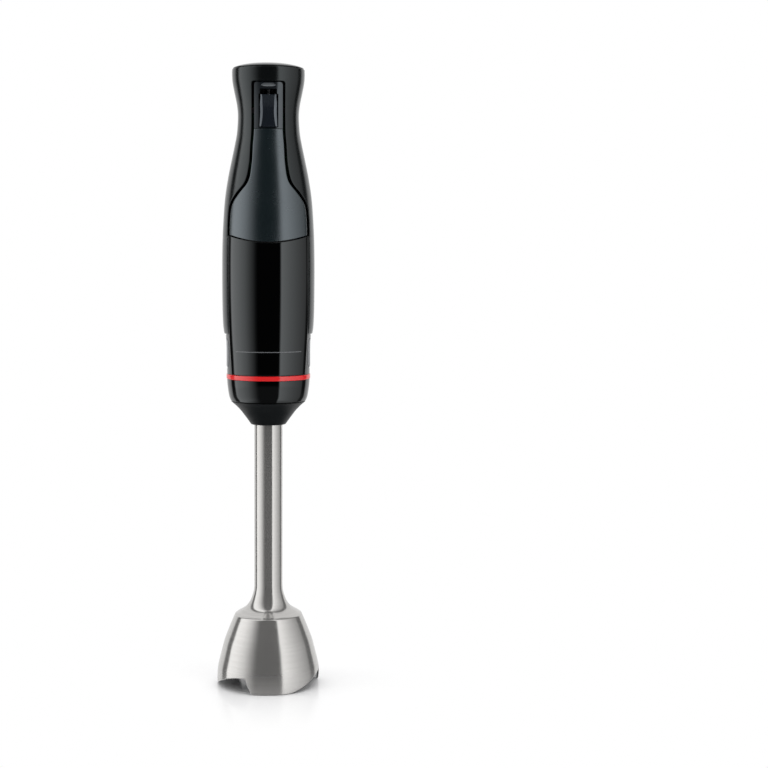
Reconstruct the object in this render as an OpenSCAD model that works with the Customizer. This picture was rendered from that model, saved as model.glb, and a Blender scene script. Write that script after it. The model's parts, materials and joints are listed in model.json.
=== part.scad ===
/* [Handle] */
// Thickness of the soft grip sleeve
sleeve_wall = 2.4; // [2.2:0.1:2.6]
// Thickness of the trigger panel and the gloss front cover
panel_wall = 2.2; // [2:0.1:2.3]
// Width of the dark gap around the trigger
trigger_gap = 1.4; // [1.2:0.1:1.6]
// Height of the coloured ring
ring_h = 3; // [2.6:0.1:3.2]
// How far the ring stands proud of the body
ring_proud = 0.3; // [0.1:0.1:0.5]

/* [Foot] */
// Outer diameter of the steel tube
tube_d = 17.9; // [16.5:0.1:18.3]
// Sheet thickness of the bell
bell_wall = 1.3; // [1.1:0.1:1.5]
// Height of the scooped openings in the rim
scoop_h = 9.5; // [7:0.5:11]
// Tip radius of the blade
blade_r = 22.5; // [19:0.5:23.5]

/* [Drive] */
// Diameter of the motor shaft and the drive shaft
shaft_d = 6; // [5:0.5:6]
// Radial clearance of the running fits
running = 0.05; // [0.03:0.01:0.08]
// Number of fan blades
fan_blades = 9; // [7:1:11]

/* [Hidden] */
$fn = 96;
shaft_r = shaft_d / 2;
bore_r = shaft_r + running;
tube_r = tube_d / 2;
half_gap = trigger_gap / 2;

// Smooth curve through points, four steps to a span
function curve(a, b, c, d, t) = 0.5 * (2 * b + (c - a) * t + (2 * a - 5 * b + 4 * c - d) * t * t
    + (3 * b - 3 * c + d - a) * t * t * t);
function smooth(p, n = 4) = [
    for (i = [0:len(p) - 2])
        for (k = [0:n - (i == len(p) - 2 ? 0 : 1)])
            curve(p[max(i - 1, 0)], p[i], p[i + 1], p[min(i + 2, len(p) - 1)], k / n)
];
function moved(p, d) = [for (q = p) [q[0] + d, q[1]]];
function turned(p) = [for (i = [len(p) - 1:-1:0]) p[i]];
function above(p, z) = [for (q = p) if (q[1] >= z) q];
function below(p, z) = [for (q = p) if (q[1] <= z) q];

// Outline of the handle: radius and height
handle = smooth([
    [27.8, 223.8], [28.25, 226.4], [28.65, 231], [28.95, 240], [29.1, 256], [29.0, 276], [28.45, 292],
    [27.3, 308], [25.4, 321],
    [23.0, 333], [21.1, 342], [19.7, 350], [19.1, 360], [19.7, 367], [21.1, 374], [22.35, 380.5],
    [22.75, 385.4], [22.7, 389.2]
]);
// Outline of the gloss front cover
cover = smooth([[26.5, 198.5], [27.2, 210], [28.2, 225], [28.9, 245], [29.1, 264], [28.95, 279], [28.6, 288]]);
// Outline of the skirt below the ring
skirt_line = smooth([[23.8, 181.25], [24.9, 184.6], [25.8, 190.5], [26.15, 195.2]]);
// Trigger outline in front view: half width, height and how fast the gap opens there
edge_line = smooth([
    [24.6, 277, 1], [24.6, 289, 1], [24.2, 298, 1.05], [22.9, 305.2, 1.25], [19.0, 311.4, 1.5],
    [13.3, 318.8, 1.35], [11.1, 329, 1.05], [10.3, 341, 1], [9.6, 352, 1], [9.5, 378.6, 1]
]);

// Closed front-view outline, widened by d, from height z0 up to z1
function side_points(d, z0, z1) = [for (q = edge_line) if (q[1] > z0 && q[1] < z1) [q[0] + d * q[2], q[1]]];
function half_at(z) = lookup(z, [for (q = edge_line) [q[1], q[0]]]);
function window_line(d, z0, z1) = let (s = concat([[half_at(z0) + d, z0]], side_points(d, z0, z1)))
    concat(s, [[9.5 + d, z1 - 1.5], [9.1 + d, z1 - 0.45], [8.0 + d, z1]],
        turned([for (q = concat(s, [[9.5 + d, z1 - 1.5], [9.1 + d, z1 - 0.45], [8.0 + d, z1]])) [-q[0], q[1]]]));

module front_prism(points) {
    rotate([90, 0, 0])
        linear_extrude(height = 50)
            polygon(points);
}

module ring(ro, ri, z0, z1) {
    translate([0, 0, z0])
        difference() {
            cylinder(r = ro, h = z1 - z0);
            translate([0, 0, -1])
                cylinder(r = ri, h = z1 - z0 + 2);
        }
}

module skin(outer, wall) {
    rotate_extrude()
        polygon(concat(outer, turned(moved(outer, -wall))));
}

module box(x0, x1, y0, y1, z0, z1) {
    translate([x0, y0, z0])
        cube([x1 - x0, y1 - y0, z1 - z0]);
}

module along_x(r, x0, x1, y = 0, z = 0) {
    translate([x0, y, z])
        rotate([0, 90, 0])
            cylinder(r = r, h = x1 - x0, $fn = 48);
}

module along_y(r, y0, y1, x = 0, z = 0) {
    translate([x, y0, z])
        rotate([-90, 0, 0])
            cylinder(r = r, h = y1 - y0, $fn = 48);
}

module along_z(r, z0, z1, x = 0, y = 0) {
    translate([x, y, z0])
        cylinder(r = r, h = z1 - z0, $fn = 48);
}

// Spring drawn as a stack of separate rings
module coil(r, wire, length, turns) {
    for (i = [0:turns - 1])
        translate([0, 0, wire + i * (length - 2 * wire) / (turns - 1)])
            rotate_extrude($fn = 48)
                translate([r, 0])
                    circle(r = wire, $fn = 16);
}

// Part of a ring between two angles
module sector(ro, ri, z0, z1, from, to) {
    translate([0, 0, z0])
        rotate([0, 0, from])
            rotate_extrude(angle = to - from)
                translate([ri, 0])
                    square([ro - ri, z1 - z0]);
}

// Seam under the trigger: an arc that sags in the middle
function seam(d) = [for (i = [-8:8]) [i * 3.4, 280.8 + d + 0.0072 * pow(i * 3.4, 2)]];

// Region in front view below the seam
module below_seam(d) {
    front_prism(concat(seam(d), [[40, 300], [40, 150], [-40, 150], [-40, 300]]));
}

module above_seam(d) {
    front_prism(concat(seam(d), [[40, 290], [40, 420], [-40, 420], [-40, 290]]));
}

// Half width of the front cover in front view
cover_side = smooth([[22.9, 197], [23.5, 205], [24.2, 217], [24.6, 232], [24.6, 289]]);
module cover_region(d, z0 = 150) {
    front_prism(concat([[22.9 + d, z0]], moved(cover_side, d),
        turned([for (q = moved(cover_side, d)) [-q[0], q[1]]]), [[-22.9 - d, z0]]));
}

/* ---------- housing ---------- */

module grip_sleeve() {
    color([0.12, 0.12, 0.13])
    difference() {
        rotate_extrude()
            polygon(concat(handle, turned(moved(handle, -sleeve_wall))));
        front_prism(window_line(half_gap, 282, 380.2));
        cover_region(0.15);
        along_y(5.5, 10, 30, 0, 373.5);
    }
}

module top_cap() {
    color([0.03, 0.03, 0.035])
    rotate_extrude()
        polygon(concat([[0, 384.8], [20.2, 384.8], [20.2, 389.4], [22.1, 389.4], [22.2, 389.8]],
            smooth([[21.7, 390.2], [18.6, 391.3], [12, 392.5], [0, 393.1]])));
}

module front_cover() {
    color([0.02, 0.02, 0.022])
    difference() {
        intersection() {
            skin(cover, panel_wall);
            cover_region(0);
            below_seam(-0.05);
        }
        difference() {
            box(-20.5, 20.5, -40, -10, 213, 213.6);
            cylinder(r = 26.5, h = 300);
        }
        // room for the release pads behind the edge
        box(-40, 40, -10.4, 10, 190, 222);
    }
}

module accent_line() {
    color([0.75, 0.76, 0.78])
    intersection() {
        ring(27.42, 26.56, 213.05, 213.55);
        box(-20.45, 20.45, -40, -10, 200, 220);
    }
}

module red_ring() {
    color([0.72, 0.04, 0.06])
    ring(26.2 + ring_proud, 24.2, 198.3 - ring_h, 198.3);
}

module skirt() {
    color([0.02, 0.02, 0.022])
    rotate_extrude()
        polygon(concat(skirt_line, [[23.2, 195.2], [22.4, 190.4], [21.6, 183.4], [16.2, 183.4],
            [16.2, 181.25]]));
}

module base_shell() {
    color([0.03, 0.03, 0.033])
    difference() {
        union() {
            ring(24, 22.4, 198.5, 221.2);
            difference() {
                rotate_extrude()
                    polygon([[23.9, 198.5], [26.1, 198.5], [26.15, 201], [26.15, 214], [26.3, 218.4],
                        [26.9, 222.4], [26.7, 223.5], [25.3, 223.5], [25.3, 221.2], [23.9, 221.2]]);
                cover_region(0.15);
            }
        }
        for (s = [-1, 1])
            pad_outline(s, 0.35, 50);
    }
}

// Rounded outline of a release pad, pushed out along X
module pad_outline(s, d, reach) {
    rotate([0, 0, s > 0 ? 0 : 180])
        translate([12, 0, 211.5])
            rotate([90, 0, 90])
                linear_extrude(height = reach)
                    union() {
                        square([17 + 2 * d - 8, 19 + 2 * d], center = true);
                        square([17 + 2 * d, 19 + 2 * d - 8], center = true);
                        for (x = [-1, 1])
                            for (y = [-1, 1])
                                translate([x * (4.5 + d), y * (5.5 + d)])
                                    circle(r = 4, $fn = 48);
                    }
}

chassis_line = moved(handle, -sleeve_wall - 0.3);

module chassis_rear() {
    color([0.2, 0.2, 0.21])
    difference() {
        union() {
            intersection() {
                skin(concat([[25, 221.3]], below(above(moved(handle, -4), 224), 280),
                    below(above(chassis_line, 281), 384)), 1.6);
                box(-40, 40, 0.15, 40, 200, 400);
            }
            for (x = [-9, 9]) {
                along_y(2.2, 3.7, 21.5, x, 310);
                along_y(2.2, 3.7, 12.8, x, 364);
            }
            for (x = [-21.6, 21.6])
                for (z = [226, 277.6])
                    along_y(2.5, 0.15, 8, x, z);
            box(-8, -5.6, 11.7, 14.5, 368, 379);
            box(5.6, 8, 11.7, 14.5, 368, 379);
        }
        for (x = [-9, 9])
            for (z = [310, 364])
                along_y(1.1, 3, 10, x, z);
        for (x = [-21.6, 21.6])
            for (z = [226, 277.6])
                along_y(1.15, -1, 6.5, x, z);
        along_y(5.5, 13.8, 30, 0, 373.5);
    }
}

module chassis_front() {
    color([0.2, 0.2, 0.21])
    difference() {
        union() {
            intersection() {
                ring(25, 23.3, 221.3, 283.2);
                box(-40, 40, -40, -0.15, 200, 400);
            }
            for (x = [-21.6, 21.6])
                for (z = [226, 277.6])
                    intersection() {
                        along_y(2.5, -8, -0.15, x, z);
                        along_z(25, 200, 300);
                    }
            for (s = [-1, 1])
                box(s > 0 ? 9 : -10.5, s > 0 ? 10.5 : -9, -23.8, -20.4, 274.8, 290.4);
        }
        for (x = [-21.6, 21.6])
            for (z = [226, 277.6]) {
                along_y(1.25, -12, 1, x, z);
                along_y(2.3, -16, -7.95, x, z);
            }
        along_x(1.25, -20, 20, -22.3, 288);
    }
}

module frame_screws() {
    color([0.6, 0.6, 0.62])
    for (x = [-21.6, 21.6])
        for (z = [226, 277.6])
            union() {
                along_y(1.1, -8.2, 6, x, z);
                along_y(2.1, -9.8, -8, x, z);
            }
}

module foot_socket() {
    color([0.25, 0.25, 0.26])
    difference() {
        union() {
            ring(16, 14, 182.1, 218);
            ring(22.2, 7, 218, 220.5);
        }
        ring(15, 10, 182.9, 185.5);
        box(12, 18, -3.4, 3.4, 204.4, 207.6);
        box(-18, -12, -3.4, 3.4, 208.4, 211.6);
    }
}

module socket_seal() {
    color([0.1, 0.1, 0.1])
    ring(15, 13.76, 183, 185.4);
}

module trigger_pin() {
    color([0.7, 0.7, 0.72])
    along_x(1.25, -10.6, 10.6, -22.3, 288);
}

module trigger_spring() {
    color([0.7, 0.7, 0.72])
    for (i = [0:5])
        translate([-4 + i * 1.6, -22.3, 288])
            rotate([0, 90, 0])
                rotate_extrude($fn = 48)
                    translate([2.2, 0])
                        circle(r = 0.4, $fn = 16);
}

module control_board() {
    color([0.05, 0.3, 0.14])
    difference() {
        box(-12, 12, 2, 3.6, 306, 368);
        for (x = [-9, 9])
            for (z = [310, 364])
                along_y(1.2, 0, 5, x, z);
    }
}

module board_screws() {
    color([0.6, 0.6, 0.62])
    for (x = [-9, 9])
        for (z = [310, 364])
            union() {
                along_y(1.05, 1, 9, x, z);
                along_y(2, 0.3, 1.9, x, z);
            }
}

module capacitor() {
    color([0.75, 0.6, 0.15])
    box(-8, 1, 3.7, 11, 316, 332);
}

module hall_sensor() {
    color([0.1, 0.1, 0.1])
    box(-2, 2, 0.4, 1.9, 330, 334);
}

module terminal_block() {
    color([0.85, 0.85, 0.82])
    difference() {
        box(-7, 7, 3.7, 10, 350, 359);
        for (x = [-3.5, 3.5])
            along_z(1.6, 345, 365, x, 7);
    }
}

module cord_clamp() {
    color([0.2, 0.2, 0.21])
    difference() {
        box(-8, 8, 9.2, 11.6, 368, 379);
        along_y(3.7, 5, 15, 0, 373.5);
    }
}

module cord_gland() {
    color([0.06, 0.06, 0.06])
    translate([0, 0, 373.5])
        rotate([-90, 0, 0])
            rotate_extrude()
                polygon([[3.6, 14.2], [5.4, 14.2], [5.4, 21.8], [5.1, 22.6], [4.6, 23], [4.6, 24], [5, 24.4],
                    [5, 25.4], [4.5, 25.8], [4.5, 26.8], [4.9, 27.2], [4.9, 28.2], [4.4, 28.6], [4.4, 30.4],
                    [4.1, 31], [3.6, 31]]);
}

/* ---------- motor ---------- */

module lower_bracket() {
    color([0.6, 0.6, 0.62])
    difference() {
        ring(23.1, 18.3, 236.2, 239.9);
        for (a = [45:90:315])
            rotate([0, 0, a])
                along_z(1.35, 230, 245, 20.3);
    }
}

module upper_bracket() {
    color([0.6, 0.6, 0.62])
    difference() {
        union() {
            ring(23.1, 18.3, 272.1, 274.6);
            for (a = [45:90:315])
                rotate([0, 0, a])
                    along_z(1.5, 274, 296.5, 20.3);
            difference() {
                ring(22.2, 7, 296, 298.5);
                for (a = [0:90:270])
                    rotate([0, 0, a])
                        translate([13.5, 0, 290])
                            cylinder(r = 4.5, h = 12);
            }
        }
        for (a = [45:90:315])
            rotate([0, 0, a])
                along_z(1.1, 260, 280, 20.3);
    }
}

module motor_screws() {
    color([0.5, 0.5, 0.52])
    for (a = [45:90:315])
        rotate([0, 0, a])
            union() {
                along_z(1.05, 235, 279, 20.3);
                along_z(2, 234, 236.1, 20.3);
            }
}

module stator_core() {
    color([0.5, 0.5, 0.53])
    difference() {
        ring(21.8, 13.3, 240, 272);
        for (a = [0, 180])
            sector(18, 10, 239, 273, a - 52, a + 52);
        for (a = [45:90:315])
            rotate([0, 0, a])
                along_z(1.35, 230, 280, 20.3);
    }
}

module field_coils() {
    color([0.7, 0.36, 0.16])
    for (a = [90, 270])
        difference() {
            sector(17.7, 14.1, 235.2, 276.8, a - 60, a + 60);
            sector(20, 12, 239.7, 272.3, a - 39.5, a + 39.5);
        }
}

module rubber_mounts() {
    color([0.08, 0.08, 0.08])
    for (z = [241.5, 266.5])
        ring(23.2, 21.8, z, z + 4);
}

module brush_holders() {
    color([0.75, 0.6, 0.3])
    for (a = [0, 180])
        rotate([0, 0, a])
            difference() {
                union() {
                    box(8.6, 20, -3.6, 3.6, 284, 292);
                    box(12.4, 16.4, -16, 16, 282.6, 284);
                }
                box(8, 19, -2.6, 2.6, 285, 291);
                for (y = [-14.35, 14.35])
                    along_z(1.55, 280, 290, 14.35, y);
            }
}

module carbon_brushes() {
    color([0.1, 0.1, 0.11])
    for (a = [0, 180])
        rotate([0, 0, a])
            difference() {
                box(6.5, 13.5, -2.5, 2.5, 285.1, 290.9);
                along_z(7.5 + running, 280, 296);
            }
}

module brush_springs() {
    color([0.7, 0.7, 0.72])
    for (a = [0, 180])
        rotate([0, 0, a])
            translate([13.6, 0, 288])
                rotate([0, 90, 0])
                    coil(1.8, 0.3, 5.3, 5);
}

module shaft_bearings() {
    color([0.72, 0.56, 0.28])
    for (z = [216.6, 296.4])
        ring(7, bore_r, z, z + 4.8);
}

/* ---------- rotor ---------- */

module motor_shaft() {
    color([0.75, 0.75, 0.77])
    along_z(shaft_r, 208, 304);
}

module rotor_core() {
    color([0.45, 0.45, 0.48])
    difference() {
        ring(12.9, shaft_r, 240.2, 271.8);
        for (a = [0:30:330])
            rotate([0, 0, a])
                box(8.6, 14, -0.9, 0.9, 239, 273);
    }
}

module rotor_windings() {
    color([0.72, 0.38, 0.17])
    union() {
        for (a = [0:30:330])
            rotate([0, 0, a])
                box(8.7, 12.2, -0.8, 0.8, 238, 274);
        ring(12.2, 5, 234.5, 240.1);
        ring(12.2, 5, 271.9, 277.6);
    }
}

module commutator() {
    color([0.75, 0.42, 0.2])
    difference() {
        ring(7.5, shaft_r, 281, 295);
        for (a = [0:15:345])
            rotate([0, 0, a])
                box(6.6, 8, -0.15, 0.15, 282.4, 296);
    }
}

module cooling_fan() {
    color([0.13, 0.13, 0.14])
    union() {
        ring(5, shaft_r, 223, 231.4);
        ring(18.4, 4.9, 230.2, 231.4);
        for (i = [0:fan_blades - 1])
            rotate([0, 0, i * 360 / fan_blades])
                translate([6.4, -0.5, 223.4])
                    rotate([0, 0, 16])
                        cube([11.2, 1.2, 7]);
    }
}

module drive_dog() {
    color([0.14, 0.14, 0.15])
    union() {
        ring(8.6, shaft_r, 208, 215.4);
        for (a = [0:120:240])
            sector(8.4, 4.6, 201.4, 208.1, a, a + 40);
    }
}

/* ---------- trigger ---------- */

module trigger_panel() {
    color([0.2, 0.22, 0.25])
    intersection() {
        skin(handle, panel_wall);
        front_prism(window_line(-half_gap, 270, 400));
        above_seam(0.7);
        box(-40, 40, -40, 0, 270, 351.1);
    }
}

module trigger_carrier() {
    color([0.16, 0.16, 0.17])
    difference() {
        union() {
            intersection() {
                skin(moved(handle, -panel_wall - 0.15), 1.7);
                box(-7.2, 7.2, -40, 0, 283.8, 350.8);
            }
            for (s = [-1, 1])
                box(s > 0 ? 5.9 : -8.6, s > 0 ? 8.6 : -5.9, -24.3, -20.3, 284.4, 291);
            box(-1.6, 1.6, -18.8, -16.2, 328, 336);
        }
        box(-5.4, 5.4, -40, -10, 280, 294);
        along_x(1.25 + running, -20, 20, -22.3, 288);
    }
}

module trigger_magnet() {
    color([0.55, 0.55, 0.58])
    along_y(2.4, -16.2, -13.6, 0, 332);
}

module lock_bezel() {
    color([0.05, 0.055, 0.065])
    difference() {
        union() {
            intersection() {
                skin(handle, panel_wall);
                front_prism([[-8.8, 351.3], [8.8, 351.3], [8.8, 378], [8.4, 379.1], [7.3, 379.5],
                    [-7.3, 379.5], [-8.4, 379.1], [-8.8, 378]]);
            }
            box(-3, 3, -19.6, -12.4, 377.8, 379.2);
        }
        front_prism([[-6.1, 352], [6.1, 352], [6.1, 372.4], [5.3, 372.4], [5.3, 375.4], [-5.3, 375.4],
            [-5.3, 372.4], [-6.1, 372.4]]);
        // sloping facet over the button
        intersection() {
            translate([0, -21.75, 376.6])
                rotate([62, 0, 0])
                    translate([-10, -3, 0])
                        cube([20, 10, 10]);
            front_prism([[-5.9, 376.6], [5.9, 376.6], [3, 379], [-3, 379]]);
        }
    }
}

/* ---------- lock button ---------- */

module lock_button() {
    color([0.25, 0.28, 0.33])
    difference() {
        intersection() {
            skin(handle, 3.2);
            front_prism([[-5.8, 352.3], [5.8, 352.3], [5.8, 367], [5.2, 371], [5.2, 372.2], [-5.2, 372.2],
                [-5.2, 371], [-5.8, 367]]);
        }
        // finger hollow across the face
        translate([0, -34, 340])
            cylinder(r = 16, h = 40);
    }
}

module lock_slider() {
    color([0.16, 0.16, 0.17])
    union() {
        box(-7.4, 7.4, -14.4, -13, 354, 370);
        box(-3.6, 3.6, -15.45, -14.3, 356, 363);
    }
}

module lock_spring() {
    color([0.7, 0.7, 0.72])
    translate([0, -13.7, 370.05])
        coil(1.3, 0.3, 7.7, 7);
}

/* ---------- release buttons ---------- */

module release_pad(s) {
    intersection() {
        pad_outline(s, 0, 20);
        rotate_extrude()
            polygon([[23, 190], [23, 217.2], [24.5, 217.4], [24.5, 230], [27, 230], [26.75, 221], [26.5, 218.6],
                [26.4, 214], [26.4, 203.6], [25.9, 202], [25.9, 190]]);
    }
}

// Yoke round the socket with its nose on the far side
module release_yoke(s, z) {
    rotate([0, 0, s > 0 ? 0 : 180])
        translate([0, 0, z])
            linear_extrude(height = 2)
                union() {
                    difference() {
                        union() {
                            circle(r = 18.4);
                            translate([2, 0])
                                circle(r = 18.4);
                            translate([0, -18.4])
                                square([2, 36.8]);
                        }
                        circle(r = 16.4);
                        translate([2, 0])
                            circle(r = 16.4);
                        translate([0, -16.4])
                            square([2, 32.8]);
                    }
                    translate([-16.8, -3])
                        square([2.6, 6]);
                    translate([20.2, -4])
                        square([3.2, 8]);
                }
}

module release_button_left() {
    color([0.24, 0.25, 0.27])
    union() {
        release_pad(-1);
        release_yoke(-1, 205);
    }
}

module release_button_right() {
    color([0.24, 0.25, 0.27])
    union() {
        release_pad(1);
        release_yoke(1, 209);
    }
}

module release_spring_left() {
    color([0.7, 0.7, 0.72])
    translate([-22.9, 0, 212.65])
        rotate([0, 90, 0])
            coil(1.1, 0.3, 6.6, 6);
}

module release_spring_right() {
    color([0.7, 0.7, 0.72])
    translate([16.3, 0, 212.65])
        rotate([0, 90, 0])
            coil(1.1, 0.3, 6.6, 6);
}

/* ---------- foot ---------- */

module foot_collar() {
    color([0.09, 0.09, 0.1])
    difference() {
        rotate_extrude()
            polygon(concat([[tube_r, 166.2]], smooth([[10.9, 166.2], [13.1, 169.2], [15.3, 172.2],
                [17.7, 175.3], [20.7, 178.4], [23.5, 180.75]]), [[23.3, 180.95], [tube_r, 180.95]]));
        ring(18.4, 14.2, 177.3, 182);
    }
}

module collar_core() {
    color([0.12, 0.12, 0.13])
    rotate_extrude()
        polygon([[tube_r, 180.95], [13.7, 180.95], [13.7, 203.6], [12.8, 204.2], [12.8, 211.8], [13.4, 212.4],
            [13.4, 213.6], [12.9, 214.2], [10.4, 214.2], [10.4, 187], [tube_r, 187]]);
}

module shaft_tube() {
    color([0.72, 0.72, 0.73])
    ring(tube_r, tube_r - 1, 63, 186.9);
}

module bell() {
    color([0.72, 0.72, 0.73])
    difference() {
        rotate_extrude($fn = 144)
            polygon(concat(bell_outer, bell_inner));
        for (a = [0, 120, 240])
            rotate([0, 0, a + 61])
                scoop();
    }
}

// Outside of the bell, from the rim up to the tube
bell_outer = concat(
    [[32.7, 0.0], [32.7, 1.2]],
    smooth([[32.6, 5], [32.2, 10.6], [31.3, 14.8], [29.9, 20.4], [27.9, 28], [25.3, 34.9], [23.1, 40.3],
        [21.5, 43.9]]),
    [[21.1, 44.6], [20.6, 45]],
    smooth([[19.6, 45.8], [16.8, 47.3], [14.2, 49.2], [12.3, 51.5], [10.95, 54.1], [9.9, 57.1], [9.2, 60],
        [tube_r, 63]], 3)
);
// Inside of the bell, from the tube bore down to the rim
bell_inner = concat(
    [[7, 63], [7, 46.2], [12, 45.6]],
    smooth([[16, 44.5], [19, 43.3], [20.5, 41.8]], 2),
    turned(moved(smooth([[32.6, 5], [32.2, 10.6], [31.3, 14.8], [29.9, 20.4], [27.9, 28], [25.3, 34.9],
        [23.1, 40.3]]), -bell_wall)),
    [[32.7 - bell_wall, 1.2], [32.7 - bell_wall, 0]]
);

// One scooped opening: a long rising arch and a steep return
module scoop() {
    rise = [for (i = [0:12]) let (a = -39 + i * 71 / 12)
        [32.7 * sin(a), -0.4 + (scoop_h + 0.4) * pow(sin(90 * i / 12), 1.5)]];
    rotate([90, 0, 0])
        linear_extrude(height = 40)
            polygon(concat([[32.7 * sin(-39), -2]], rise, [[18.6, scoop_h * 0.93], [19.5, scoop_h * 0.7],
                [20.4, scoop_h * 0.3], [20.9, -0.4], [20.9, -2]]));
}

module upper_bush() {
    color([0.85, 0.84, 0.8])
    ring(10.3, bore_r, 187.1, 193.6);
}

module lower_bush() {
    color([0.72, 0.56, 0.28])
    ring(6.98, bore_r, 50, 61.9);
}

module shaft_seal() {
    color([0.1, 0.1, 0.1])
    ring(6.98, bore_r, 46.4, 49.8);
}

/* ---------- foot drive ---------- */

module drive_shaft() {
    color([0.75, 0.75, 0.77])
    along_z(shaft_r, 15.6, 197);
}

module driven_dog() {
    color([0.14, 0.14, 0.15])
    difference() {
        union() {
            along_z(8.2, 194, 201);
            for (a = [60:120:300])
                sector(8, 4.8, 200.9, 207.4, a, a + 40);
        }
        along_z(shaft_r, 190, 197.05);
    }
}

module blade_hub() {
    color([0.7, 0.7, 0.72])
    rotate_extrude()
        polygon([[shaft_r, 22.6], [5.6, 22.6], [6.4, 24], [6.4, 36], [5, 42], [shaft_r, 42]]);
}

module blade() {
    color([0.78, 0.78, 0.8])
    difference() {
        union() {
            along_z(7.6, 21, 22.5);
            for (a = [0, 180])
                rotate([0, 0, a]) {
                    wing(0);
                    rotate([0, 0, 90])
                        wing(16);
                }
        }
        along_z(shaft_r, 10, 30);
    }
}

// Curved blade wing that starts outside the hub, tipped up by the angle given
module wing(tip) {
    translate([6.7, 0, 21])
        rotate([0, -tip, 0])
            translate([-6.7, 0, 0])
                intersection() {
                    linear_extrude(height = 1.5)
                        polygon(concat([[6.7, -4.5]],
                            [for (i = [0:6]) [7.5 + i * (blade_r - 7.5) / 6, -4.5 + 0.09 * i * i]],
                            [[blade_r - 0.6, 0.6], [blade_r - 3, 2.6], [12, 4.1], [6.7, 4.4]]));
                    rotate([0, tip, 0])
                        translate([0, 0, -20])
                            cylinder(r = blade_r, h = 40);
                }
}

module blade_nut() {
    color([0.72, 0.72, 0.74])
    difference() {
        intersection() {
            translate([0, 0, 16.2])
                cylinder(r = 5.6, h = 4.7, $fn = 6);
            translate([0, 0, 14])
                cylinder(r = 5.3, h = 8);
        }
        along_z(shaft_r, 15.6, 25);
    }
}

grip_sleeve();
top_cap();
front_cover();
accent_line();
red_ring();
skirt();
base_shell();
chassis_rear();
chassis_front();
frame_screws();
foot_socket();
socket_seal();
trigger_pin();
trigger_spring();
control_board();
board_screws();
capacitor();
hall_sensor();
terminal_block();
cord_clamp();
cord_gland();
lower_bracket();
upper_bracket();
motor_screws();
stator_core();
field_coils();
rubber_mounts();
brush_holders();
carbon_brushes();
brush_springs();
shaft_bearings();
motor_shaft();
rotor_core();
rotor_windings();
commutator();
cooling_fan();
drive_dog();
trigger_panel();
trigger_carrier();
trigger_magnet();
lock_bezel();
lock_button();
lock_slider();
lock_spring();
release_button_left();
release_button_right();
release_spring_left();
release_spring_right();
foot_collar();
collar_core();
shaft_tube();
bell();
upper_bush();
lower_bush();
shaft_seal();
drive_shaft();
driven_dog();
blade_hub();
blade();
blade_nut();
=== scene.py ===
import json
import math

import bpy
import numpy as np
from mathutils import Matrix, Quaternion, Vector


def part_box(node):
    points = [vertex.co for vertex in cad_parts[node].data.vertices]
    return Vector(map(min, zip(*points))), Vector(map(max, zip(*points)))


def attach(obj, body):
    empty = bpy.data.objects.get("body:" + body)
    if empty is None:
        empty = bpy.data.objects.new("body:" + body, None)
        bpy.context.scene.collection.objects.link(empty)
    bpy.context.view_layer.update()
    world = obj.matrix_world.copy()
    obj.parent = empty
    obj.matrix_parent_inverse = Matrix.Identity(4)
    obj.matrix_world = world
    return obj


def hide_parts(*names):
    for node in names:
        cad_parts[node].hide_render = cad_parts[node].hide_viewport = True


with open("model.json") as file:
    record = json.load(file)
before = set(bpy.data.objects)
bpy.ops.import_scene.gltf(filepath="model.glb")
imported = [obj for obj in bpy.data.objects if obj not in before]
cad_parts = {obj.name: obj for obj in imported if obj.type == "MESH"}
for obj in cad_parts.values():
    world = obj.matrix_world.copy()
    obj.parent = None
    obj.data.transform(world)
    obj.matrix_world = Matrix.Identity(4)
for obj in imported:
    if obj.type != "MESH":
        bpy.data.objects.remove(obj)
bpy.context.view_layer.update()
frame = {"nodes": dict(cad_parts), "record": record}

MM = 0.001


# ---------- outlines, in millimetres, the same as the CAD's ----------

def spline(points, steps=24):
    """Catmull-Rom curve through (value, height) points, as two arrays sorted by height."""
    p = np.array(points, float)
    out = []
    for i in range(len(p) - 1):
        a, b, c, d = p[max(i - 1, 0)], p[i], p[i + 1], p[min(i + 2, len(p) - 1)]
        for k in range(steps + (i == len(p) - 2)):
            t = k / steps
            out.append(0.5 * (2 * b + (c - a) * t + (2 * a - 5 * b + 4 * c - d) * t * t
                              + (3 * b - 3 * c + d - a) * t ** 3))
    return np.array(out)


def lookup(table):
    order = np.argsort(table[:, 1], kind="stable")
    z, v = table[order, 1], table[order, 0]
    return lambda h: np.interp(h, z, v)


handle_r = lookup(spline([
    [27.8, 223.8], [28.25, 226.4], [28.65, 231], [28.95, 240], [29.1, 256], [29.0, 276],
    [28.45, 292], [27.3, 308], [25.4, 321], [23.0, 333], [21.1, 342], [19.7, 350], [19.1, 360],
    [19.7, 367], [21.1, 374], [22.35, 380.5], [22.75, 385.4], [22.7, 389.2]]))
cover_r = lookup(spline([
    [26.5, 198.5], [27.2, 210], [28.2, 225], [28.9, 245], [29.1, 264], [28.95, 279], [28.6, 288]]))
cover_side = lookup(spline([[22.9, 197], [23.5, 205], [24.2, 217], [24.6, 232], [24.6, 289]]))
EDGE = [[24.6, 277, 1], [24.6, 289, 1], [24.2, 298, 1.05], [22.9, 305.2, 1.25], [19.0, 311.4, 1.5],
        [13.3, 318.8, 1.35], [11.1, 329, 1.05], [10.3, 341, 1], [9.6, 352, 1], [9.5, 378.6, 1], [9.5, 392, 1]]
edge_x = lookup(spline([[e[0], e[1]] for e in EDGE]))
edge_k = lookup(np.array([[e[2], e[1]] for e in EDGE]))


def seam_z(x):
    return 280.8 + 0.0072 * x * x


# ---------- mesh building ----------

def soften(o, angle):
    """Smooth shading that stays crisp at edges sharper than angle, in degrees."""
    o.data.polygons.foreach_set("use_smooth", [True] * len(o.data.polygons))
    o.modifiers.new("edges", "EDGE_SPLIT").split_angle = math.radians(angle)


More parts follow.
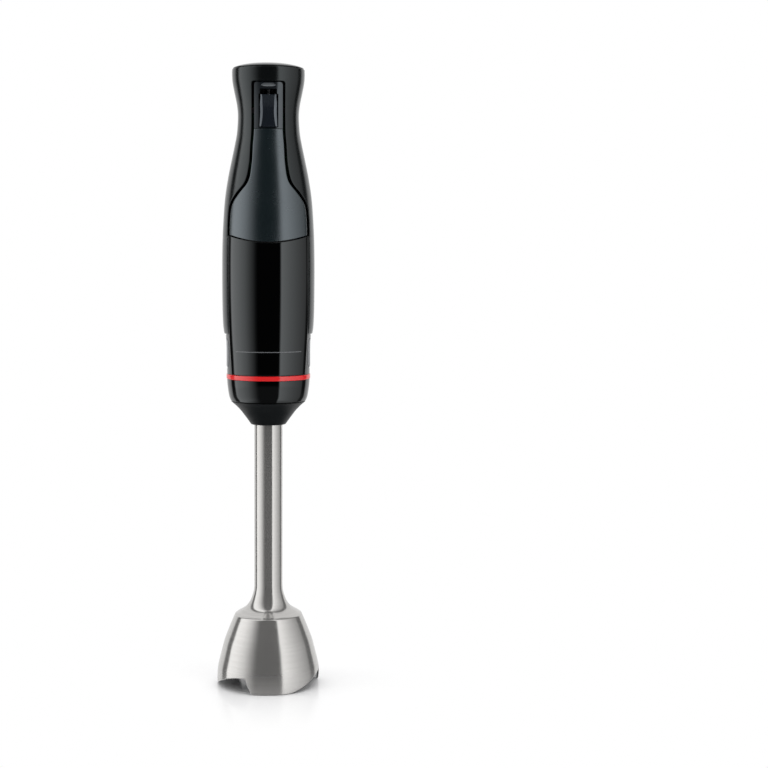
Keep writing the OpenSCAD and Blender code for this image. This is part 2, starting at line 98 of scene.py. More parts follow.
def make(name, verts, faces, body, slot, stands_for):
    """Makes a piece from points in millimetres; it takes the place of the CAD nodes in stands_for."""
    mesh = bpy.data.meshes.new(name)
    mesh.from_pydata([tuple(v * MM for v in p) for p in verts], [], faces)
    mesh.validate()
    mesh.update()
    o = bpy.data.objects.new(name, mesh)
    bpy.context.scene.collection.objects.link(o)
    mesh.materials.append(M[slot])
    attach(o, body)
    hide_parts(*stands_for)
    soften(o, 32)


def merge(verts, faces, tol=1e-4):
    """Joins vertices that lie on each other and drops faces that collapse."""
    keys, index, kept = {}, [], []
    for v in verts:
        k = (round(v[0] / tol), round(v[1] / tol), round(v[2] / tol))
        if k not in keys:
            keys[k] = len(kept)
            kept.append(v)
        index.append(keys[k])
    out, seen = [], set()
    for f in faces:
        g = []
        for i in f:
            j = index[i]
            if j not in g:
                g.append(j)
        if len(g) > 2 and frozenset(g) not in seen:
            seen.add(frozenset(g))
            out.append(g)
    return kept, out


def rounding(bevel, thick):
    """Steps of (outline change, depth) over a rounded outer edge and down to the inner face."""
    steps = [(-bevel * (1 - math.sin(a)), bevel * (1 - math.cos(a))) for a in np.linspace(0, math.pi / 2, 5)]
    return steps + [(0.0, thick)]


def shell_patch(name, point, nu, nv, thick, bevel, body, slot, stands_for):
    """A curved plate. point(u, v, d, depth) is the place at (u, v), with the outline grown by d and sunk by
    depth. The outer face, the rounded edge and the inner face make one closed mesh."""
    us = np.linspace(0, 1, nu)
    vs = np.linspace(0, 1, nv)
    verts, faces = [], []

    def grid(d, depth, flip):
        base = len(verts)
        for v in vs:
            for u in us:
                verts.append(point(u, v, d, depth))
        for j in range(nv - 1):
            for i in range(nu - 1):
                low = base + j * nu + i
                f = [low, low + 1, low + nu + 1, low + nu]
                faces.append(f[::-1] if flip else f)

    def loop(d, depth):
        base = len(verts)
        path = [(u, vs[0]) for u in us] + [(us[-1], v) for v in vs[1:]]
        path += [(u, vs[-1]) for u in us[-2::-1]] + [(us[0], v) for v in vs[-2:0:-1]]
        for u, v in path:
            verts.append(point(u, v, d, depth))
        return base, len(path)

    grid(-bevel, 0.0, False)
    last = None
    for d, depth in rounding(bevel, thick):
        base, n = loop(d, depth)
        if last is not None:
            for i in range(n):
                k = (i + 1) % n
                faces.append([last + k, last + i, base + i, base + k])
        last = base
    grid(0.0, thick, True)
    verts, faces = merge(verts, faces)
    make(name, verts, faces, body, slot, stands_for)


def on_round(x, z, radius, depth):
    """A front point at half-offset x on a round of that radius, sunk by depth; edges run straight back."""
    q = radius - depth
    return (x, -math.sqrt(max(0.0, q * q - x * x)), z)


def lathe(name, outline, body, slot, stands_for, around=160):
    """Turns a closed outline of (radius, height) points about the upright axis."""
    verts, faces, rings = [], [], []
    for r, z in outline:
        if r < 1e-6:
            rings.append([len(verts)] * around)
            verts.append((0, 0, z))
        else:
            rings.append(list(range(len(verts), len(verts) + around)))
            for i in range(around):
                a = 2 * math.pi * i / around
                verts.append((r * math.cos(a), r * math.sin(a), z))
    for a, b in zip(rings, rings[1:] + rings[:1]):
        for i in range(around):
            k = (i + 1) % around
            f = []
            for q in (a[i], a[k], b[k], b[i]):
                if q not in f:
                    f.append(q)
            if len(f) > 2:
                faces.append(f)
    make(name, verts, faces, body, slot, stands_for)


def rounded(points, radii, n=5):
    """Rounds the corners of a closed outline, each with its own radius."""
    out = []
    m = len(points)
    for i, r in enumerate(radii):
        p = np.array(points[i], float)
        a, b = np.array(points[i - 1], float), np.array(points[(i + 1) % m], float)
        if r <= 0:
            out.append(tuple(p))
            continue
        da, db = (a - p) / np.linalg.norm(a - p), (b - p) / np.linalg.norm(b - p)
        r = min(r, 0.45 * np.linalg.norm(a - p), 0.45 * np.linalg.norm(b - p))
        for k in range(n + 1):
            t = k / n
            q = (1 - t) ** 2 * (p + da * r) + 2 * t * (1 - t) * p + t * t * (p + db * r)
            out.append(tuple(q))
    return out


# ---------- materials ----------

M = {}


def shader(name):
    """Starts a material and keeps it in M under the name of its slot."""
    m = bpy.data.materials.new(name)
    m.use_nodes = True
    M[name] = m
    return m.node_tree, m.node_tree.nodes["Principled BSDF"]


def coordinates(t):
    """The place on the object, which stays the same in every pose."""
    return t.nodes.new("ShaderNodeTexCoord").outputs["Object"]


def noise(t, place, scale, detail, rough=0.5):
    node = t.nodes.new("ShaderNodeTexNoise")
    node.inputs["Scale"].default_value = scale
    node.inputs["Detail"].default_value = detail
    node.inputs["Roughness"].default_value = rough
    t.links.new(place, node.inputs["Vector"])
    return node.outputs["Fac"]


def remap(t, value, low, high, to_low=0.0, to_high=1.0):
    """Turns low to high into to_low to to_high, held at both ends."""
    node = t.nodes.new("ShaderNodeMapRange")
    for key, number in (("From Min", low), ("From Max", high), ("To Min", to_low), ("To Max", to_high)):
        node.inputs[key].default_value = number
    t.links.new(value, node.inputs["Value"])
    return node.outputs["Result"]


def mixed(t, factor, a, b):
    """Mixes two colours, each a tuple or another node's output."""
    node = t.nodes.new("ShaderNodeMix")
    node.data_type = "RGBA"
    t.links.new(factor, node.inputs["Factor"])
    for key, colour in (("A", a), ("B", b)):
        if isinstance(colour, bpy.types.NodeSocket):
            t.links.new(colour, node.inputs[key])
        else:
            node.inputs[key].default_value = (*colour, 1)
    return node.outputs["Result"]


def bumped(t, height, strength, distance, under=None):
    """Bump from a height, on top of another bump where there is one."""
    node = t.nodes.new("ShaderNodeBump")
    node.inputs["Strength"].default_value = strength
    node.inputs["Distance"].default_value = distance
    t.links.new(height, node.inputs["Height"])
    if under:
        t.links.new(under, node.inputs["Normal"])
    return node.outputs["Normal"]


def split(t, vector):
    node = t.nodes.new("ShaderNodeSeparateXYZ")
    t.links.new(vector, node.inputs["Vector"])
    return node.outputs


def plastic(name, base, rough, spec=0.5, grain=0.0, grain_scale=900.0, vary=0.05, vary_scale=60.0,
            wave=0.0, wave_scale=90.0, smudge=0.0, ior=1.5, tint=(1, 1, 1)):
    """Moulded plastic: a varied roughness, a fine grain bump and a slow waviness."""
    t, p = shader(name)
    p.inputs["Base Color"].default_value = (*base, 1)
    p.inputs["Specular IOR Level"].default_value = spec
    p.inputs["IOR"].default_value = ior
    p.inputs["Specular Tint"].default_value = (*tint, 1)
    place = coordinates(t)
    blotch = noise(t, place, vary_scale, 5, 0.6)
    rough_map = remap(t, blotch, 0.3, 0.7, max(0.01, rough - vary), rough + vary + smudge)
    t.links.new(rough_map, p.inputs["Roughness"])
    normal = None
    if grain > 0:
        normal = bumped(t, noise(t, place, grain_scale, 2), grain, 0.0002)
    if wave > 0:
        normal = bumped(t, noise(t, place, wave_scale, 1), wave, 0.0005, normal)
    if normal:
        t.links.new(normal, p.inputs["Normal"])


def metal(name, base, rough, pure=1.0, streak=0.05, along=(40, 40, 2600), tint=0.08, bump=0.05):
    """Metal with fine tool lines. along stretches the noise, so the lines run across its largest number."""
    t, p = shader(name)
    p.inputs["Metallic"].default_value = pure
    place = coordinates(t)
    stretch = t.nodes.new("ShaderNodeMapping")
    stretch.inputs["Scale"].default_value = along
    t.links.new(place, stretch.inputs["Vector"])
    lines = noise(t, stretch.outputs["Vector"], 1.0, 4, 0.65)
    add = t.nodes.new("ShaderNodeMath")
    add.operation = "MULTIPLY_ADD"
    t.links.new(noise(t, place, 45.0, 4), add.inputs[0])
    add.inputs[1].default_value = 0.08
    t.links.new(remap(t, lines, 0.3, 0.7, rough - streak, rough + streak), add.inputs[2])
    t.links.new(add.outputs["Value"], p.inputs["Roughness"])
    dark = [c * (1 - tint) for c in base]
    pale = [min(1.0, c * (1 + tint)) for c in base]
    t.links.new(mixed(t, lines, dark, pale), p.inputs["Base Color"])
    t.links.new(bumped(t, lines, bump, 0.0001), p.inputs["Normal"])


def paint_bell_shade_and_rim(m, painted_shade_colour, rim_metallic):
    """Paints shade on the faces that look towards the upright axis, such as the inside of the bell, by
    darkening their colour, and makes the steel a little whiter towards the rim."""
    t = m.node_tree
    p = t.nodes["Principled BSDF"]
    place = coordinates(t)
    flat = t.nodes.new("ShaderNodeVectorMath")
    flat.operation = "MULTIPLY"
    flat.inputs[1].default_value = (1, 1, 0)
    t.links.new(place, flat.inputs[0])
    outward = t.nodes.new("ShaderNodeVectorMath")
    outward.operation = "DOT_PRODUCT"
    t.links.new(flat.outputs["Vector"], outward.inputs[0])
    t.links.new(t.nodes.new("ShaderNodeNewGeometry").outputs["True Normal"], outward.inputs[1])
    # painted shade: faces turned towards the axis take the dark colour
    inside = remap(t, outward.outputs["Value"], 0.004, -0.001)
    brushed = p.inputs["Base Color"].links[0].from_socket
    t.links.new(mixed(t, inside, brushed, painted_shade_colour), p.inputs["Base Color"])
    rim = remap(t, split(t, place)["Z"], 0.013, 0.001, p.inputs["Metallic"].default_value, rim_metallic)
    t.links.new(rim, p.inputs["Metallic"])


def paint_facet_highlight(m, colour):
    """Paints a highlight on the one face of the bezel that slopes upwards, over the button: where the face
    looks up, its colour turns lighter.
    """
    t = m.node_tree
    p = t.nodes["Principled BSDF"]
    normal = t.nodes.new("ShaderNodeNewGeometry").outputs["True Normal"]
    # painted highlight: the colour turns lighter where the face looks up
    slope = remap(t, split(t, normal)["Z"], 0.25, 0.4)
    plain = tuple(p.inputs["Base Color"].default_value)[:3]
    t.links.new(mixed(t, slope, plain, colour), p.inputs["Base Color"])


plastic("soft_touch", (0.004, 0.0047, 0.005), 0.17, 0.62, grain=0.08, grain_scale=2600,
        vary=0.03, vary_scale=70, tint=(0.9, 0.98, 1))
plastic("gloss_black", (0.0004, 0.0004, 0.0005), 0.05, 0.81, vary=0.015, vary_scale=30,
        wave=0.02, wave_scale=60, smudge=0.015, tint=(0.92, 0.98, 1))
plastic("trigger_satin", (0.0065, 0.0115, 0.0135), 0.26, 1.0, grain=0.03, grain_scale=3200,
        vary=0.03, vary_scale=50, ior=1.7, tint=(0.84, 0.93, 1))
plastic("red_trim", (0.8, 0.022, 0.025), 0.12, 0.8, vary=0.04, vary_scale=60, grain=0.04)
plastic("silver_trim", (0.15, 0.155, 0.165), 0.3, 0.6, vary=0.04, grain=0.05)
plastic("bezel_dark", (0.005, 0.0065, 0.0085), 0.13, 0.8, vary=0.03, wave=0.03, ior=1.6,
        tint=(0.86, 0.94, 1))
plastic("smoked_button", (0.010, 0.013, 0.018), 0.15, 1.0, vary=0.03, grain=0.03, ior=1.7,
        tint=(0.84, 0.92, 1))
plastic("release_grey", (0.16, 0.168, 0.18), 0.34, 0.5, grain=0.15, grain_scale=2600)
plastic("collar_matte", (0.0055, 0.0068, 0.0076), 0.38, 0.16, grain=0.3, grain_scale=2200)
plastic("inner_plastic", (0.05, 0.05, 0.053), 0.5, 0.4, grain=0.3, grain_scale=1800)
plastic("black_rubber", (0.014, 0.014, 0.014), 0.65, 0.3, grain=0.35, grain_scale=2000)
plastic("board_green", (0.012, 0.11, 0.045), 0.35, 0.5, grain=0.1)
plastic("capacitor_yellow", (0.6, 0.36, 0.04), 0.3, 0.5, grain=0.1)
plastic("chip_black", (0.015, 0.015, 0.016), 0.5, 0.4, grain=0.2)
plastic("block_white", (0.6, 0.59, 0.54), 0.42, 0.4, grain=0.2)
plastic("carbon", (0.03, 0.03, 0.033), 0.6, 0.4, grain=0.5, grain_scale=3000)
plastic("dark_nylon", (0.03, 0.03, 0.033), 0.45, 0.4, grain=0.25)
plastic("bush_plastic", (0.68, 0.66, 0.6), 0.4, 0.4, grain=0.15)
metal("foot_steel", (0.56, 0.55, 0.535), 0.10, pure=0.76, streak=0.04, along=(6, 6, 1100),
      tint=0.13, bump=0.10)
metal("blade_steel", (0.68, 0.68, 0.69), 0.2, streak=0.05, along=(300, 2500, 300))
metal("hub_steel", (0.6, 0.6, 0.61), 0.28, streak=0.05, along=(20, 20, 1800))
metal("pin_steel", (0.7, 0.7, 0.71), 0.15, streak=0.04, along=(20, 20, 2500))
metal("screw_steel", (0.58, 0.58, 0.6), 0.3, along=(900, 900, 900))
metal("spring_steel", (0.6, 0.6, 0.62), 0.28, along=(600, 600, 600))
metal("bracket_metal", (0.6, 0.6, 0.62), 0.42, along=(500, 500, 500), tint=0.12, bump=0.15)
metal("lamination", (0.36, 0.36, 0.38), 0.4, along=(10, 10, 2000), tint=0.25, bump=0.3)
metal("copper", (0.72, 0.3, 0.12), 0.32, along=(1500, 1500, 900), tint=0.2, bump=0.25)
metal("holder_brass", (0.74, 0.54, 0.2), 0.3, along=(500, 500, 500))
metal("bearing_bronze", (0.58, 0.38, 0.16), 0.38, along=(700, 700, 700), tint=0.15, bump=0.1)
metal("magnet_metal", (0.62, 0.62, 0.63), 0.18, along=(400, 400, 400))

# painted highlight on the bezel's upward facet
paint_facet_highlight(M["bezel_dark"], (0.2, 0.215, 0.23))
# painted shade inside the bell, and a less metallic rim
paint_bell_shade_and_rim(M["foot_steel"], (0.125, 0.13, 0.135), 0.5)
slots = {s["node"]: s["material_slot"] for s in frame["record"]["subparts"]}
for node, o in frame["nodes"].items():
    o.data.materials.clear()
    o.data.materials.append(M[slots[node]])
    soften(o, 28)


# ---------- handle skin ----------

GAP = 0.7  # half of the dark gap round the trigger
TOP = 380.2  # top of the opening in the sleeve
SLEEVE_LOW = 223.8
SLEEVE_HIGH = 389.2
SLEEVE_WALL = 2.4
PANEL_WALL = 2.2
COVER_LOW = 198.5
COVER_TOP = 285.2  # above this the sleeve's opening follows the trigger
PADS_HIGH = 222  # below this the front cover stays in front of the release pads
PADS_FRONT = -10.4
TRIGGER_TOP = 351.1
CORNER = 1.5  # radius of the corners at the opening's top
CROWN = 4.0  # rise of the grid rows over the opening, from its edge to the back


def sleeve_half(z, d):
    """Half width of the sleeve's front opening at height z, with the opening shrunk by d."""
    if z < COVER_TOP:
        return cover_side(z) + 0.15 - d
    w = edge_x(z) + (GAP - d) * edge_k(z)
    top = TOP - d
    if z > top - CORNER:
        c = min(1.0, (z - (top - CORNER)) / CORNER)
        w -= CORNER * (1 - math.sqrt(max(0.0, 1 - c * c)))
    return w


def sleeve_point(u, v, d, depth):
    """v 0 to 1 runs up beside the opening, 1 to 2 closes over its top and 2 to 3 goes on to the rim."""
    bottom, rim = SLEEVE_LOW - d, SLEEVE_HIGH + d
    top = TOP - d
    w = 0.5 * (1 - math.cos(2 * math.pi * u))
    if v <= 1:
        z = bottom + (top - bottom) * v
        half = sleeve_half(z, d)
    elif v <= 2:
        t = v - 1
        z = top + w * CROWN * t
        half = sleeve_half(top, d) * (1 - t)
    else:
        t = v - 2
        z0 = top + w * CROWN
        z = z0 + (rim - z0) * t
        half = 0.0
    q = float(handle_r(z)) - depth
    a = math.asin(min(1.0, half / q))
    th = a + u * (2 * math.pi - 2 * a)
    return (q * math.sin(th), -q * math.cos(th), z)


def build_sleeve():
    bevel = 0.35
    us = np.linspace(0, 1, 161)
    edge_rows = np.concatenate([
        np.linspace(SLEEVE_LOW, 240, 14), np.linspace(241, 284.9, 30), np.linspace(285.1, 285.3, 4),
        np.linspace(286, 330, 60), np.linspace(331, 378.4, 50), np.linspace(378.7, TOP, 14)])
    edge_rows = (edge_rows - SLEEVE_LOW) / (TOP - SLEEVE_LOW)
    vs = np.concatenate([edge_rows, np.linspace(1.06, 2.0, 16), np.linspace(2.12, 3.0, 9)])
    close = int(np.where(np.abs(vs - 2.0) < 1e-9)[0][0])
    nu, nv = len(us), len(vs)
    verts, faces = [], []

    def grid(d, depth, flip):
        base = len(verts)
        for v in vs:
            for u in us:
                verts.append(sleeve_point(u, v, d, depth))
        for j in range(nv - 1):
            for i in range(nu - 1):
                low = base + j * nu + i
                f = [low, low + nu, low + nu + 1, low + 1]
                faces.append(f if flip else f[::-1])

    def loops(d, depth):
        low = [(0.0, v) for v in vs[close::-1]] + [(u, vs[0]) for u in us[1:]]
        low += [(1.0, v) for v in vs[1:close]]
        high = [(u, 3.0) for u in us[:-1]]
        out = []
        for path in (low, high):
            out.append((len(verts), len(path)))
            for u, v in path:
                verts.append(sleeve_point(u, v, d, depth))
        return out

    grid(-bevel, 0.0, False)
    last = None
    for d, depth in rounding(bevel, SLEEVE_WALL):
        now = loops(d, depth)
        if last:
            for (a, n), (b, _), flip in zip(last, now, (False, True)):
                for i in range(n):
                    k = (i + 1) % n
                    f = [a + k, a + i, b + i, b + k]
                    faces.append(f[::-1] if flip else f)
        last = now
    grid(0.0, SLEEVE_WALL, True)
    verts, faces = merge(verts, faces)
    make("handle_sleeve", verts, faces, "housing", "soft_touch", ("grip_sleeve",))


def trigger_point(u, v, d, depth):
    """The lower edge follows the seam, so height and half width are found together in a few rounds."""
    s = 2 * u - 1
    top = TRIGGER_TOP + d
    z = 281.5 + v * (top - 281.5)
    for _ in range(5):
        x = s * (edge_x(z) + (d - GAP) * edge_k(z))
        z0 = seam_z(x) + GAP - d
        z = z0 + v * (top - z0)
    return on_round(x, z, float(handle_r(z)), depth)


def cover_point(u, v, d, depth):
    s = 2 * u - 1
    bottom = COVER_LOW - d
    z = bottom + v * (280.7 - bottom)
    for _ in range(4):
        x = s * (cover_side(z) + d)
        z1 = seam_z(x) - 0.05 + d
        z = bottom + v * (z1 - bottom)
    x, y, z = on_round(x, z, float(cover_r(z)), depth)
    return (x, min(y, PADS_FRONT) if z < PADS_HIGH else y, z)


def accent_point(u, v, d, depth):
    x = (2 * u - 1) * (20.45 + d)
    z = 213.05 - d + v * (0.5 + 2 * d)
    return on_round(x, z, float(cover_r(z)) + 0.03, depth)


build_sleeve()
shell_patch("accent_strip", accent_point, 61, 4, 0.5, 0.06, "housing", "silver_trim", ("accent_line",))
shell_patch("pressure_trigger", trigger_point, 81, 121, PANEL_WALL, 0.35, "trigger", "trigger_satin",
            ("trigger_panel",))
shell_patch("gloss_front", cover_point, 97, 101, PANEL_WALL, 0.25, "housing", "gloss_black", ("front_cover",))


# ---------- lock button ----------

BUTTON_LOW = 352.4
BUTTON_HIGH = 372.1
BUTTON_HALF = 5.7
BUTTON_BACK = -15.4
BUTTON_ROUND = 0.45


def button_half(z):
    """The button narrows towards its top, so that it clears the slot over it when it slides up."""
    return BUTTON_HALF - 0.6 * min(1.0, max(0.0, (z - 366.5) / 4))


def button_face(x, z):
    """A face hollowed for the finger, between two curved flanks that slope away."""
    v = (z - BUTTON_LOW) / (BUTTON_HIGH - BUTTON_LOW)
    edge = 3.35 + 1.15 * (2 * v - 1) ** 2
    flank = max(0.0, abs(x) - edge)
    soft = math.sqrt(flank * flank + 0.02) - math.sqrt(0.02)
    hollow = 0.1 + 0.55 * math.sin(math.pi * v)
    y = -(float(handle_r(z)) - hollow) + 0.008 * x * x + 0.5 * soft
    end = min(z - BUTTON_LOW, BUTTON_HIGH - z, BUTTON_HALF - abs(x))
    if end < BUTTON_ROUND:
        y += BUTTON_ROUND - math.sqrt(max(0.0, BUTTON_ROUND ** 2 - (BUTTON_ROUND - end) ** 2))
    return y


def build_button():
    xs = np.linspace(-BUTTON_HALF, BUTTON_HALF, 77)
    low_edge = [BUTTON_LOW + step for step in (0, 0.05, 0.2, 0.4)]
    high_edge = [BUTTON_HIGH - step for step in (0.5, 0.25, 0.1, 0)]
    zs = np.concatenate([low_edge, np.linspace(353.1, 371.3, 60), high_edge])
    nx, nz = len(xs), len(zs)
    front = [(x * button_half(z) / BUTTON_HALF, button_face(x, z), z) for z in zs for x in xs]
    verts = front + [(x, BUTTON_BACK, z) for x, _, z in front]
    faces = []
    back = nx * nz
    for j in range(nz - 1):
        for i in range(nx - 1):
            a = j * nx + i
            faces.append([a, a + 1, a + 1 + nx, a + nx])
            faces.append([back + a, back + a + nx, back + a + 1 + nx, back + a + 1])
    rim = list(range(nx)) + [j * nx + nx - 1 for j in range(1, nz)]
    rim += [(nz - 1) * nx + i for i in range(nx - 2, -1, -1)] + [j * nx for j in range(nz - 2, 0, -1)]
    for a, b in zip(rim, rim[1:] + rim[:1]):
        faces.append([b, a, back + a, back + b])
    make("lock_key", verts, faces, "lock", "smoked_button", ("lock_button",))


build_button()


# ---------- round parts ----------


def curve(points, steps):
    return [tuple(p) for p in spline(points, steps)]


def build_cap():
    low = rounded([(0, 384.8), (20.2, 384.8), (20.2, 389.4), (22.15, 389.4)], [0, 0.3, 0, 0.2], 4)
    dome = curve([[22.2, 389.8], [21.7, 390.2], [18.6, 391.3], [12, 392.5], [0, 393.1]], 10)
    lathe("cap_dome", low + dome, "housing", "gloss_black", ("top_cap",))


def build_ring():
    inner, outer, low, high = 24.2, 26.5, 195.3, 198.3
    corners = [(inner, low), (outer, low), (outer, high), (inner, high)]
    lathe("ring_red", rounded(corners, [0.1, 0.45, 0.45, 0.1]), "housing", "red_trim", ("red_ring",))


def build_skirt():
    foot = [(16.2, 183.4), (16.2, 181.25), (23.4, 181.25), (23.7, 181.35)]
    outside = curve([[23.9, 181.6], [24.9, 184.6], [25.8, 190.5], [26.15, 195]], 10)
    inside = [(26.05, 195.2), (23.2, 195.2), (22.4, 190.4), (21.6, 183.4)]
    lathe("skirt_gloss", foot + outside + inside, "housing", "gloss_black", ("skirt",))


def build_collar():
    bore = [(tube_r, 180.95), (tube_r, 166.2), (10.8, 166.2)]
    cone = curve([[11.1, 166.4], [13.1, 169.2], [15.3, 172.2], [17.7, 175.3], [20.7, 178.4],
                  [23.35, 180.65]], 8)
    top = [(23.3, 180.95), (18.4, 180.95), (18.4, 177.3), (14.2, 177.3), (14.2, 180.95)]
    lathe("collar_cone", bore + cone + top, "foot", "collar_matte", ("foot_collar",))


def build_tube():
    wall = 1
    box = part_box("shaft_tube")
    low, high = box[0].z / MM, box[1].z / MM
    outside = [(tube_r, z) for z in np.linspace(low, high, 40)]
    lathe("steel_tube", outside + [(tube_r - wall, high), (tube_r - wall, low)], "foot", "foot_steel",
          ("shaft_tube",), around=192)


tube_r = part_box("shaft_tube")[1].x / MM
build_cap()
build_ring()
build_skirt()
build_collar()
build_tube()


# ---------- bell ----------

BELL_WALL = 1.3
SCOOP_HIGH = 9.5
SCOOP_RISE = 71  # degrees over which an opening rises
SCOOP_RETURN = 7.5  # degrees over which it drops back
OPENINGS = 3


def rim_height(theta):
    """Height of the rim at an angle in degrees from the front, positive to the right."""
    t = (theta - 22) % (360 / OPENINGS)
    if t < SCOOP_RISE:
        return SCOOP_HIGH * math.sin(math.pi / 2 * t / SCOOP_RISE) ** 1.5
    if t < SCOOP_RISE + SCOOP_RETURN:
        s = (t - SCOOP_RISE) / SCOOP_RETURN
        return SCOOP_HIGH * (1 - s) * (1 - 0.12 * math.sin(math.pi * s))
    return 0.0


def rim_smooth(theta):
    return sum(rim_height(theta + k * 0.5) * w for k, w in ((-2, 1), (-1, 2), (0, 3), (1, 2), (2, 1))) / 9


wall_out = spline([[32.7, 0.0], [32.68, 1.2], [32.6, 5], [32.2, 10.6], [31.3, 14.8], [29.9, 20.4],
                   [27.9, 28], [25.3, 34.9], [23.1, 40.3], [21.5, 43.9]], 6)
bell_r = lookup(wall_out)


def bell_section(theta):
    """Closed outline of the bell's wall at one angle: lip, outside, shoulder and neck, inside, lip."""
    low_rim = rim_smooth(theta)
    lip = 0.45
    half = BELL_WALL / 2
    middle = float(bell_r(low_rim)) - half
    start = low_rim + lip
    level = 14.8
    heights = start + (level - start) * np.linspace(0, 1, 12)
    quarter = [math.pi / 2 * k / 4 for k in range(1, 5)]
    shoulder = [(21.35, 44.3), (21.05, 44.65), (20.6, 44.95)]
    neck = curve([[19.6, 45.7], [16.8, 47.3], [14.2, 49.2], [12.3, 51.5], [10.95, 54.1], [9.9, 57.1],
                  [9.2, 60], [tube_r, 63]], 6)
    line = [(middle, low_rim)]
    line += [(middle + half * math.sin(b), low_rim + lip * (1 - math.cos(b))) for b in quarter]
    line += [(float(bell_r(z)), z) for z in heights[1:]]
    line += [(float(bell_r(z)), z) for z in wall_out[:, 1] if z > level + 0.3]
    line += shoulder + neck
    line += [(7.0, 63), (7.0, 46.2), (12, 45.6), (16, 44.5), (19, 43.3), (20.5, 41.8), (21.6, 40.3)]
    line += [(float(bell_r(z)) - BELL_WALL, z) for z in (37.5, 34.9, 31, 28, 24, 20.4, 17.5)]
    line += [(float(bell_r(z)) - BELL_WALL, z) for z in heights[::-1]]
    line += [(middle - half * math.sin(b), low_rim + lip * (1 - math.cos(b))) for b in quarter[-2::-1]]
    return line


def build_bell():
    """A section every degree, and four to the degree where an opening drops back."""
    steep = [np.arange(91 + k, 102.2 + k, 0.25) % 360 for k in range(0, 360, 360 // OPENINGS)]
    angles = np.unique(np.concatenate([np.arange(0, 360, 1.0)] + steep))
    verts, faces = [], []
    for theta in angles:
        a = math.radians(theta)
        section = bell_section(theta)
        verts += [(r * math.sin(a), -r * math.cos(a), z) for r, z in section]
    n = len(section)
    for c in range(len(angles)):
        p, q = c * n, (c + 1) % len(angles) * n
        for i in range(n):
            k = (i + 1) % n
            faces.append([p + i, q + i, q + k, p + k])
    make("steel_bell", verts, faces, "foot", "foot_steel", ("bell",))


build_bell()


# ---------- studio ----------

# light seen in reflections, by degrees round from the front: pale panels with dark gaps between them
PANELS = [(-180, 0.9), (-131, 0.9), (-124, 0.03), (-110, 0.03), (-106, 1.7), (-80, 1.45), (-62, 1.06),
          (-44, 0.42), (-33, 0.08), (-27, 0.008), (29, 0.008), (33, 1.6), (58, 1.1), (77, 0.76), (95, 0.5),
          (107, 0.34), (112, 0.04), (126, 0.03), (132, 0.9), (180, 0.9)]
BRIGHTEST = 1.7


def panels(t, direction):
    """Colour of the panels in a direction, as a share of the brightest."""
    back = t.nodes.new("ShaderNodeMath")
    back.operation = "MULTIPLY"
    back.inputs[1].default_value = -1
    t.links.new(direction["Y"], back.inputs[0])
    angle = t.nodes.new("ShaderNodeMath")
    angle.operation = "ARCTAN2"
    t.links.new(direction["X"], angle.inputs[0])
    t.links.new(back.outputs["Value"], angle.inputs[1])
    ramp = t.nodes.new("ShaderNodeValToRGB")
    stops = ramp.color_ramp.elements
    for degrees, _ in PANELS[1:-1]:
        stops.new((degrees + 180) / 360)
    for stop, (_, light) in zip(stops, PANELS):
        stop.color = (light / BRIGHTEST, light / BRIGHTEST, light / BRIGHTEST, 1)
    t.links.new(remap(t, angle.outputs["Value"], -math.pi, math.pi), ramp.inputs["Fac"])
    return ramp.outputs["Color"]


def studio():
    """White behind everything, with the panels lighting the blender and showing in its reflections."""
    world = bpy.data.worlds.new("studio")
    bpy.context.scene.world = world
    world.use_nodes = True
    t = world.node_tree
    t.nodes.clear()
    direction = split(t, t.nodes.new("ShaderNodeTexCoord").outputs["Generated"])
    ceiling, table, ground = (0.5, 0.5, 0.5), (0.23, 0.23, 0.23), (0.03, 0.03, 0.03)
    light = mixed(t, remap(t, direction["Z"], 0.975, 1.0), panels(t, direction), ceiling)
    light = mixed(t, remap(t, direction["Z"], -0.215, -0.262, to_high=0.15), light, table)
    light = mixed(t, remap(t, direction["Z"], -0.62, -0.85), light, ground)
    lit = t.nodes.new("ShaderNodeBackground")
    lit.inputs["Strength"].default_value = BRIGHTEST
    t.links.new(light, lit.inputs["Color"])
    white = t.nodes.new("ShaderNodeBackground")
    white.inputs["Color"].default_value = (1, 1, 1, 1)
    blend(t, t.nodes.new("ShaderNodeLightPath").outputs["Is Camera Ray"], lit.outputs["Background"],
          white.outputs["Background"], t.nodes.new("ShaderNodeOutputWorld").inputs["Surface"])


def blend(t, factor, a, b, surface):
    """Mixes two shaders into an output."""
    mix = t.nodes.new("ShaderNodeMixShader")
    t.links.new(factor, mix.inputs["Fac"])
    t.links.new(a, mix.inputs[1])
    t.links.new(b, mix.inputs[2])
    t.links.new(mix.outputs["Shader"], surface)


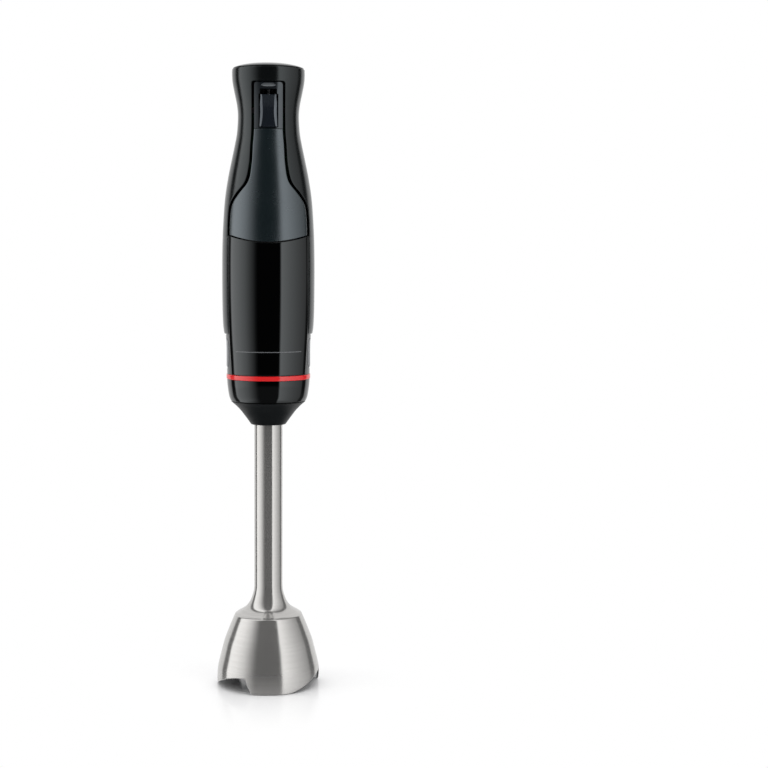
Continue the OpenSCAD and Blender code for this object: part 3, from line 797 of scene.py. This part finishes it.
def floor():
    """A round table top that turns into plain white away from the blender."""
    radius = 60.0
    around = 96
    turns = [2 * math.pi * i / around for i in range(around)]
    verts = [(0, 0, 0)] + [(radius * math.cos(a), radius * math.sin(a), 0) for a in turns]
    mesh = bpy.data.meshes.new("floor")
    mesh.from_pydata(verts, [], [(0, i + 1, (i + 1) % around + 1) for i in range(around)])
    o = bpy.data.objects.new("floor", mesh)
    bpy.context.scene.collection.objects.link(o)
    o.location.z = -0.0002
    o.visible_glossy = False
    t, p = shader("floor_white")
    p.inputs["Base Color"].default_value = (0.93, 0.93, 0.935, 1)
    p.inputs["Roughness"].default_value = 0.16
    away = t.nodes.new("ShaderNodeVectorMath")
    away.operation = "LENGTH"
    t.links.new(coordinates(t), away.inputs[0])
    fade = t.nodes.new("ShaderNodeMapRange")
    fade.interpolation_type = "SMOOTHSTEP"
    fade.inputs["From Min"].default_value = 0.015
    fade.inputs["From Max"].default_value = 0.11
    t.links.new(away.outputs["Value"], fade.inputs["Value"])
    blend(t, fade.outputs["Result"], p.outputs["BSDF"], t.nodes.new("ShaderNodeEmission").outputs["Emission"],
          t.nodes["Material Output"].inputs["Surface"])
    mesh.materials.append(M["floor_white"])


def lamp(name, place, size, power):
    """A square lamp over the blender, shining straight at its foot."""
    d = bpy.data.lights.new(name, "AREA")
    d.shape = "RECTANGLE"
    d.size = size
    d.size_y = size
    d.energy = power
    o = bpy.data.objects.new(name, d)
    bpy.context.scene.collection.objects.link(o)
    o.location = place
    o.rotation_euler = (-Vector(place)).to_track_quat("-Z", "Y").to_euler()
    o.visible_glossy = False


studio()
floor()
lamp("overhead", (0, -0.1, 2.2), 2.4, 34)


# ---------- camera ----------

def camera():
    """A metre away and turned aside a little, so that the blender stands left of centre."""
    cam = bpy.data.cameras.new("camera")
    cam.lens = 73.89
    cam.sensor_width = 36
    cam.shift_y = -0.05
    cam.clip_start = 0.01
    cam.clip_end = 200
    o = bpy.data.objects.new("camera", cam)
    bpy.context.scene.collection.objects.link(o)
    o.location = (0, -1.0, 0.275)
    pitch, pan, roll = (math.radians(angle) for angle in (-3.37, -4.2, -0.25))
    forward = Vector((math.sin(-pan) * math.cos(pitch), math.cos(pan) * math.cos(pitch), math.sin(pitch)))
    o.rotation_mode = "QUATERNION"
    o.rotation_quaternion = Quaternion(forward, roll) @ forward.to_track_quat("-Z", "Y")
    bpy.context.scene.camera = o


camera()
bpy.context.scene.view_settings.view_transform = "Standard"
